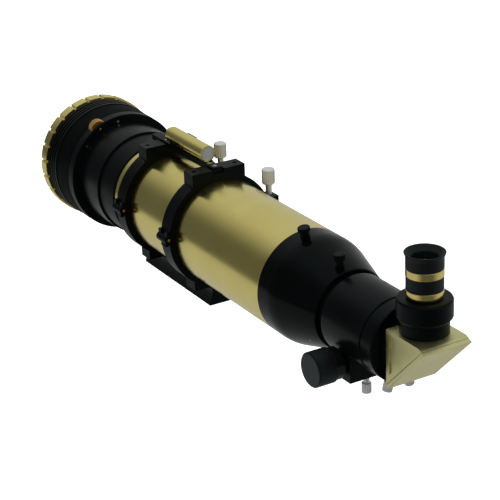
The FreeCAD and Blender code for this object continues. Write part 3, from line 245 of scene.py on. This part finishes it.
def piece_of(node, bm, ending):
    """A new piece in a CAD node's place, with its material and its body."""
    for face in bm.faces:
        face.smooth = True
    mesh = bpy.data.meshes.new(node + ending)
    bm.to_mesh(mesh)
    bm.free()
    imported = mesh.attributes.get("custom_normal")
    if imported is not None:
        mesh.attributes.remove(imported)
    mesh.materials.append(WHOLE[node])
    piece = bpy.data.objects.new(node + ending, mesh)
    bpy.context.scene.collection.objects.link(piece)
    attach(piece, nodes[node]["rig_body"])
    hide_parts(node)
    return piece


SHARP = math.radians(24)
FLAT = math.radians(0.6)
LONG_EDGE = 4.5
SAME_PLACE = 1e-6
SOFT_NORMALS = 80
TURNED_NORMALS = 70


def soften(node, width):
    """A copy of a node whose long sharp edges get a small round that catches the light."""
    source = nodes[node]
    bm = bmesh.new()
    bm.from_mesh(source.data)
    bm.transform(source.matrix_world)
    bmesh.ops.remove_doubles(bm, verts=bm.verts, dist=SAME_PLACE)
    bmesh.ops.dissolve_limit(bm, angle_limit=FLAT, verts=bm.verts, edges=bm.edges)
    weights = bm.edges.layers.float.new("bevel_weight_edge")
    for edge in bm.edges:
        sharp = edge.is_manifold and edge.calc_face_angle() > SHARP
        rounding = sharp and edge.calc_length() > LONG_EDGE * MM
        edge[weights] = 1.0 if rounding else 0.0
        edge.smooth = rounding or not sharp
    piece = piece_of(node, bm, "_soft")
    bevel = piece.modifiers.new("edges", "BEVEL")
    bevel.width = width * MM
    bevel.segments = 2
    bevel.limit_method = "WEIGHT"
    weighted = piece.modifiers.new("normals", "WEIGHTED_NORMAL")
    weighted.weight = SOFT_NORMALS
    weighted.keep_sharp = True


for name, slot, width in (
        ("ring_lower_rear", "black_anodised", 0.6), ("ring_lower_front", "black_anodised", 0.6),
        ("ring_upper_rear", "black_anodised", 0.6), ("ring_upper_front", "black_anodised", 0.6),
        ("mounting_plate", "black_anodised", 0.7), ("pinion_housing", "black_anodised", 0.8),
        ("diagonal_body", "gold_anodised", 0.5), ("diagonal_cover", "gold_anodised", 0.7),
        ("finder_bar", "black_anodised", 0.4), ("front_ring", "gold_anodised", 0.4)):
    soften(name, width)


TINY = 1e-6
SLIGHT_TURN = math.radians(4)
WIDE_TURN = math.radians(30)
CORNER_SHARE = 0.35


def rounded(profile, radius):
    """The closed profile with each corner replaced by a short arc of about that radius."""
    points = []
    count = len(profile)
    for index in range(count):
        before = Vector(profile[index - 1])
        corner = Vector(profile[index])
        after = Vector(profile[(index + 1) % count])
        into = before - corner
        out = after - corner
        if corner.x < TINY or into.length < TINY or out.length < TINY:
            points.append(tuple(corner))
            continue
        turn = math.pi - into.angle(out)
        if turn < SLIGHT_TURN:
            points.append(tuple(corner))
            continue
        reach = min(radius, CORNER_SHARE * into.length, CORNER_SHARE * out.length)
        start = corner + into.normalized() * reach
        end = corner + out.normalized() * reach
        steps = 3 if turn > WIDE_TURN else 1
        for step in range(steps + 1):
            t = step / steps
            bent = (1 - t) ** 2 * start + 2 * t * (1 - t) * corner + t ** 2 * end
            points.append(tuple(bent))
    return points


def lathe(node, profile, places, corner=0.3, around=144, ripple=None, core=None):
    """A closed profile of (radius, position), spun at each place in turn.

    A place is a centre and the turn that carries +Z to the axis. ripple(angle, radius,
    position) gives a change of radius, for knurls. core is a (radius, material) for what lies
    within that radius of an upright axis."""
    bm = bmesh.new()
    loop = rounded(profile, corner)
    for centre, turn in places:
        origin = at(*centre)
        rings = []
        for radius, position in loop:
            ring = []
            for step in range(around if radius > TINY else 1):
                angle = 2 * math.pi * step / around
                wide = radius + (ripple(angle, radius, position) if ripple else 0)
                spot = Vector((wide * math.cos(angle), wide * math.sin(angle), position))
                ring.append(bm.verts.new(origin + turn @ spot * MM))
            rings.append(ring)
        for ring, other in zip(rings, rings[1:] + rings[:1]):
            if len(ring) == 1 and len(other) == 1:
                continue
            for step in range(around):
                after = (step + 1) % around
                if len(ring) == 1:
                    bm.faces.new((ring[0], other[after], other[step]))
                elif len(other) == 1:
                    bm.faces.new((ring[step], ring[after], other[0]))
                else:
                    bm.faces.new((ring[step], ring[after], other[after], other[step]))
    bmesh.ops.recalc_face_normals(bm, faces=bm.faces)
    if core:
        radius, material = core
        middle = at(*places[0][0])
        for face in bm.faces:
            away = face.calc_center_median() - middle
            if Vector((away.x, away.y)).length < radius * MM:
                face.material_index = 1
    piece = piece_of(node, bm, "_turned")
    if core:
        piece.data.materials.append(material)
    weighted = piece.modifiers.new("normals", "WEIGHTED_NORMAL")
    weighted.weight = TURNED_NORMALS


RIB_START = 0.05
GROOVE_SHARE = 0.45


def rows(band, fade=0.4):
    """The profile's rows along a knurled band of (radius, low, high)."""
    radius, low, high = band
    return [(radius, low), (radius, low + fade), (radius, high - fade), (radius, high)]


def ribs(count, depth, band):
    """Straight knurling: grooves along the axis, cut into the inner rows of a band."""
    radius, low, high = band

    def ripple(angle, wide, position):
        inside = abs(wide - radius) < TINY and low < position < high
        phase = (angle * count / (2 * math.pi) + RIB_START) % 1
        return -depth if inside and phase < GROOVE_SHARE else 0
    return ripple


def diamonds(count, pitch, depth, band):
    """Diamond knurling: two crossed sets of grooves over a band."""
    radius, low, high = band

    def ripple(angle, wide, position):
        if abs(wide - radius) > TINY or not low < position < high:
            return 0
        twist = math.pi * position / pitch
        first = abs(math.cos(count * angle / 2 + twist))
        second = abs(math.cos(count * angle / 2 - twist))
        return -depth * (1 - min(first, second))
    return ripple


ALONG_X = Matrix.Rotation(math.radians(90), 3, "Y")
AGAINST_X = Matrix.Rotation(math.radians(-90), 3, "Y")
ALONG_Y = Matrix.Rotation(math.radians(-90), 3, "X")
ALONG_Z = Matrix.Identity(3)


def outward(angle):
    """The turn from +Z to a radius of the tube, at an angle from +X towards +Z."""
    return Matrix.Rotation(math.radians(90 - angle), 3, "Y")


def screw(node, foot, band, head, count, depth, place, fade=0.4):
    """A thumbscrew with a knurled head."""
    lathe(node, foot + rows(band, fade) + head, [place], 0.25, 6 * count,
          ribs(count, depth, band))


# Where the turned pieces stand: places along the tube, and angles from +X towards +Z.
PINION = (0, -111.2, -32)
RING_SCREW_OUT = 66.3
RING_SCREWS = (("ring_screw_rear", 179), ("ring_screw_front", 284))
FOCUS_LOCK_AT = -104.2
COLLAR_AT = -157
COLLAR_SCREWS = (("collar_lock_screw_left", -104.5), ("collar_lock_screw_right", -75.5))
CELL_SCREW_AT, CELL_SCREW_ANGLE = -17, 100.4
ROTATOR_SCREW_AT, ROTATOR_SCREW_ANGLE = -71, 97
WHEEL_CIRCLE, WHEEL_ANGLE = 65, math.radians(117)
GROOVES_AT = (442.6, 448.2, 453.8)
GROOVE_WIDE, GROOVE_FLOOR, GROOVED_RADIUS = 2.6, 69.4, 70.7
EYEPIECE_AT = -197.8
GRIP_ROWS, GRIP_STEP = 30, 0.4
KNOB_RIBS, WHEEL_RIBS, GRIP_DIAMONDS = 54, 44, 40

knob_band = (17.4, 48.0, 66.4)
lathe("focus_knobs",
      [(0, 68), (16.2, 68), (17.4, 66.8)] + rows(knob_band)[::-1] +
      [(17.4, 47.6), (16.8, 47), (16, 47), (16, 39), (15, 38), (11, 38), (11, 34.3),
       (3, 34.3), (3, 62), (0, 62)],
      [(PINION, ALONG_X), (PINION, AGAINST_X)], 0.4, 6 * KNOB_RIBS,
      ribs(KNOB_RIBS, 0.25, knob_band))

for node, y in RING_SCREWS:
    screw(node,
          [(0, -7), (2, -7), (2.5, -6.5), (2.5, 23.1), (3.5, 23.1), (3.5, 35.5),
           (6.4, 35.5), (7.2, 36.5)],
          (7.2, 37.0, 51.2), [(7.2, 51.7), (6.2, 52.7), (0, 52.7)], 20, 0.7,
          ((RING_SCREW_OUT, y, 0), ALONG_Z))
screw("focus_lock_screw", [(0, -78), (4.3, -78), (4.9, -77.4)],
      (4.9, -77.1, -67.9), [(4.9, -67.6), (4.3, -67), (3, -67), (3, -50.2), (1.5, -50.2),
                            (1.5, -29), (0, -29)], 16, 0.5,
      ((0, FOCUS_LOCK_AT, 0), ALONG_Z))
for node, angle in COLLAR_SCREWS:
    screw(node,
          [(0, 25.6), (1.5, 25.6), (1.5, 39.2), (3, 39.2), (3, 42), (4.3, 42), (4.9, 42.6)],
          (4.9, 42.9, 51.1), [(4.9, 51.4), (4.3, 52), (0, 52)], 16, 0.5,
          ((0, COLLAR_AT, 0), outward(angle)))
screw("cell_thumbscrew",
      [(0, 49.5), (2, 49.5), (2, 57.2), (4.85, 57.2), (4.85, 64.7), (5.9, 64.7), (6.3, 65.1)],
      (6.3, 65.3, 68.2), [(6.3, 68.4), (5.7, 69), (0, 69)], 24, 0.45,
      ((0, CELL_SCREW_AT, 0), outward(CELL_SCREW_ANGLE)), 0.3)
screw("rotator_thumbscrew",
      [(0, 36.3), (2, 36.3), (2, 45.6), (4, 45.6), (4, 50.7), (5.25, 50.7), (5.65, 51.1)],
      (5.65, 51.4, 56.6), [(5.65, 56.9), (5.05, 57.5), (0, 57.5)], 22, 0.45,
      ((0, ROTATOR_SCREW_AT, 0), outward(ROTATOR_SCREW_ANGLE)))

wheel_spot = (WHEEL_CIRCLE * math.cos(WHEEL_ANGLE), 0, WHEEL_CIRCLE * math.sin(WHEEL_ANGLE))
wheel_band = (10, 397.6, 405.2)
lathe("tuning_wheel",
      [(0, 394.1), (1.5, 394.1), (1.5, 396.8), (9.4, 396.8), (10, 397.4)] + rows(wheel_band) +
      [(10, 405.4), (9.4, 406), (0, 406)],
      [(wheel_spot, ALONG_Y)], 0.2, 6 * WHEEL_RIBS,
      ribs(WHEEL_RIBS, 0.4, wheel_band))

grooves = []
for start in GROOVES_AT:
    grooves += [(GROOVED_RADIUS, start), (GROOVE_FLOOR, start),
                (GROOVE_FLOOR, start + GROOVE_WIDE), (GROOVED_RADIUS, start + GROOVE_WIDE)]
lathe("grooved_ring",
      [(50, 430), (56, 430), (56, 438.4), (GROOVED_RADIUS, 438.4)] + grooves +
      [(GROOVED_RADIUS, 461.5), (58, 461.5), (58, 452), (50, 452)],
      [((0, 0, 0), ALONG_Y)], 0.5, 192)

eyepiece = [((0, EYEPIECE_AT, 0), ALONG_Z)]
lathe("clamp_ring",
      [(19.65, 36.1), (22.9, 36.1), (26, 40.2), (26, 56.7), (24.6, 58.3), (16.375, 58.3),
       (16.375, 55.2), (19.65, 55.2)], eyepiece, 0.6)
lathe("eyepiece_barrel",
      [(12.5, 30), (15.875, 30), (15.875, 58.5), (16.6, 58.5), (17.5, 60), (17.5, 66.5),
       (14.9, 66.5), (14.9, 95), (12.5, 95)], eyepiece, 0.4, core=(15.2, RUBBER))
grip_band = (17.3, 67.2, 78.8)
grip_rows = [(17.3, 67.2 + GRIP_STEP * step) for step in range(GRIP_ROWS)]
lathe("eyepiece_grip",
      [(14.9, 66.5), (16.8, 66.5), (17.3, 67.0)] + grip_rows +
      [(17.3, 79.0), (16.8, 79.5), (14.9, 79.5)],
      eyepiece, 0.15, 6 * GRIP_DIAMONDS, diamonds(GRIP_DIAMONDS, 2.7, 0.5, grip_band))
lathe("eyepiece_upper_ring",
      [(14.9, 79.5), (17.5, 79.5), (17.5, 86.7), (14.9, 86.7)], eyepiece, 0.5)
lathe("eyecup",
      [(14.9, 86.7), (17.5, 86.7), (17.5, 97), (19.1, 101.2), (18.7, 101.6), (18, 101.6),
       (12.4, 96.5), (12.4, 95), (14.9, 95)], eyepiece, 0.5)


# ---- floor, light and camera ---------------------------------------------------------------

FLOOR_HALF, FLOOR_HEIGHT, FLOOR_GLOW = 8, -0.09, 0.95
# Each range of the world: where it starts and ends, and its strength there.
UPPER_RANGE = (-0.32, 0.62, 0.11, 0.50)
LOWER_RANGE = (-0.26, -0.12, 0.46, 0.0)
FADE_RANGE = (-0.80, 0.10, 0.12, 1.0)
OVERHEAD_SHARE = 0.9
LENS, SENSOR, NEAREST, FARTHEST = 122.82, 36, 0.05, 60
CAMERA_PLACE = (-0.8200, -1.5545, 0.7729)
CAMERA_RIGHT = (0.8584, -0.5117, -0.0367)
CAMERA_BACK = (-0.4594, -0.7986, 0.3888)

bpy.context.scene.view_settings.view_transform = "Standard"

floor_mesh = bpy.data.meshes.new("floor")
corners = [(x * FLOOR_HALF, y * FLOOR_HALF, 0) for x, y in ((-1, -1), (1, -1), (1, 1), (-1, 1))]
floor_mesh.from_pydata(corners, [], [(0, 1, 2, 3)])
floor = bpy.data.objects.new("floor", floor_mesh)
floor.location.z = FLOOR_HEIGHT
bpy.context.scene.collection.objects.link(floor)
pale = Nodes("pale_floor", Roughness=0.9, Specular_IOR_Level=0.1, Emission_Strength=FLOOR_GLOW)
pale.shader.inputs["Emission Color"].default_value = (1, 1, 1, 1)
pale.set("Base Color", pale.ramp(pale.noise(3, 2), (0.3, (0.86, 0.86, 0.86)),
                                 (0.7, (0.88, 0.88, 0.88))))
pale.material.cycles.emission_sampling = "NONE"
floor_mesh.materials.append(pale.material)
# The world's lower half lights the object in the floor's place, less strongly.
floor.visible_glossy = False
floor.visible_diffuse = False

world = bpy.data.worlds.new("studio")
world.use_nodes = True
bpy.context.scene.world = world
tree = world.node_tree
background = tree.nodes["Background"]
background.inputs["Color"].default_value = (0.98, 1.0, 1.0, 1)
split = tree.nodes.new("ShaderNodeSeparateXYZ")
tree.links.new(tree.nodes.new("ShaderNodeTexCoord").outputs["Generated"], split.inputs[0])


def world_range(value, start, end, low, high):
    node = tree.nodes.new("ShaderNodeMapRange")
    node.interpolation_type = "SMOOTHSTEP"
    for socket, number in (("From Min", start), ("From Max", end), ("To Min", low),
                           ("To Max", high)):
        node.inputs[socket].default_value = number
    tree.links.new(value, node.inputs["Value"])
    return node.outputs["Result"]


# Above: dark on the left, bright on the right and overhead. Below: a pale glow that fades
# towards the camera's side.
rightward = tree.nodes.new("ShaderNodeMath")
rightward.operation = "MULTIPLY_ADD"
rightward.inputs[1].default_value = OVERHEAD_SHARE
tree.links.new(split.outputs["Z"], rightward.inputs[0])
tree.links.new(split.outputs["X"], rightward.inputs[2])
above = world_range(rightward.outputs[0], *UPPER_RANGE)
below = world_range(split.outputs["Z"], *LOWER_RANGE)
brighter = tree.nodes.new("ShaderNodeMath")
brighter.operation = "MAXIMUM"
faded = tree.nodes.new("ShaderNodeMath")
faded.operation = "MULTIPLY"
tree.links.new(below, faded.inputs[0])
tree.links.new(world_range(split.outputs["Y"], *FADE_RANGE), faded.inputs[1])
tree.links.new(above, brighter.inputs[0])
tree.links.new(faded.outputs[0], brighter.inputs[1])
tree.links.new(brighter.outputs[0], background.inputs["Strength"])


def softbox(name, place, target, wide, tall, power):
    lamp = bpy.data.lights.new(name, "AREA")
    lamp.shape = "RECTANGLE"
    lamp.size = wide
    lamp.size_y = tall
    lamp.energy = power
    holder = bpy.data.objects.new(name, lamp)
    holder.location = place
    holder.visible_glossy = False
    look = Vector(target) - Vector(place)
    holder.rotation_euler = look.to_track_quat("-Z", "Y").to_euler()
    bpy.context.scene.collection.objects.link(holder)


softbox("overhead", (0.3, 0.2, 2.2), (0, 0, 0), wide=1.6, tall=1.8, power=12)
softbox("left_key", (-2.2, -1.2, 1.1), (0, -0.2, 0.1), wide=0.8, tall=1.2, power=26)

camera_data = bpy.data.cameras.new("camera")
camera_data.lens = LENS
camera_data.sensor_width = SENSOR
camera_data.clip_start = NEAREST
camera_data.clip_end = FARTHEST
camera = bpy.data.objects.new("camera", camera_data)
right = Vector(CAMERA_RIGHT).normalized()
back = Vector(CAMERA_BACK).normalized()
up = back.cross(right).normalized()
right = up.cross(back)
turn = Matrix((right, up, back)).transposed()
camera.matrix_world = Matrix.Translation(CAMERA_PLACE) @ turn.to_4x4()
bpy.context.scene.collection.objects.link(camera)
bpy.context.scene.camera = camera
